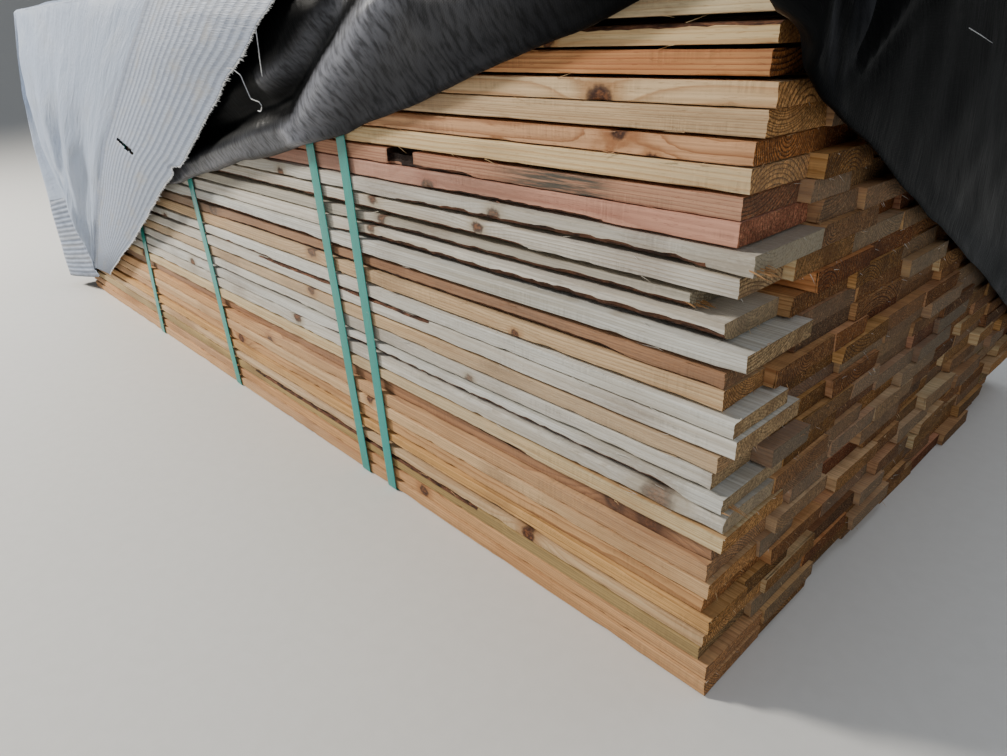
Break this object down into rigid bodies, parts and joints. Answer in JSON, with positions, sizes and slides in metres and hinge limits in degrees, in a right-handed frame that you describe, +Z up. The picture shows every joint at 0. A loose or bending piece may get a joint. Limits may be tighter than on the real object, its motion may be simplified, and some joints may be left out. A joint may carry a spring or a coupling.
{
  "type": "stack of lumber",
  "caption": "Strapped rectangular bundle of rough-sawn softwood boards laid in layers, under a woven protective wrap torn open over one corner.",
  "frame": {"origin": "on the floor, under the middle of the whole bundle", "axes": "+X runs along the boards towards the open end, -Y is the long side that shows the boards, +Z is up"},
  "size_m": [2.4816, 1.2352, 0.8701],
  "materials": {
    "sawn_softwood": "rough-sawn, unplaned",
    "strap_band": "smooth polyester band",
    "woven_wrap": "coated woven polyethylene, white outside and black inside"
  },
  "bodies": {
    "root": {"board_layer_01": "sawn_softwood", "board_layer_02": "sawn_softwood", "board_layer_03": "sawn_softwood", "board_layer_04": "sawn_softwood", "board_layer_05": "sawn_softwood", "board_layer_06": "sawn_softwood", "board_layer_07": "sawn_softwood", "board_layer_08": "sawn_softwood", "board_layer_09": "sawn_softwood", "board_layer_10": "sawn_softwood", "board_layer_11": "sawn_softwood", "board_layer_12": "sawn_softwood", "board_layer_13": "sawn_softwood", "board_layer_14": "sawn_softwood", "board_layer_15": "sawn_softwood", "board_layer_16": "sawn_softwood", "board_layer_17": "sawn_softwood", "board_layer_18": "sawn_softwood", "board_layer_19": "sawn_softwood", "board_layer_20": "sawn_softwood", "board_layer_21": "sawn_softwood", "board_layer_22": "sawn_softwood", "board_layer_23": "sawn_softwood", "board_layer_24": "sawn_softwood", "board_layer_25": "sawn_softwood", "board_layer_26": "sawn_softwood", "board_layer_27": "sawn_softwood", "board_layer_28": "sawn_softwood", "board_layer_29": "sawn_softwood", "board_layer_30": "sawn_softwood", "board_layer_31": "sawn_softwood", "board_layer_32": "sawn_softwood", "board_layer_33": "sawn_softwood", "board_layer_34": "sawn_softwood", "board_layer_35": "sawn_softwood", "lumber_wrap": "woven_wrap", "strap_1": "strap_band", "strap_2": "strap_band", "strap_3": "strap_band", "strap_4": "strap_band"}
  },
  "joints": []
}
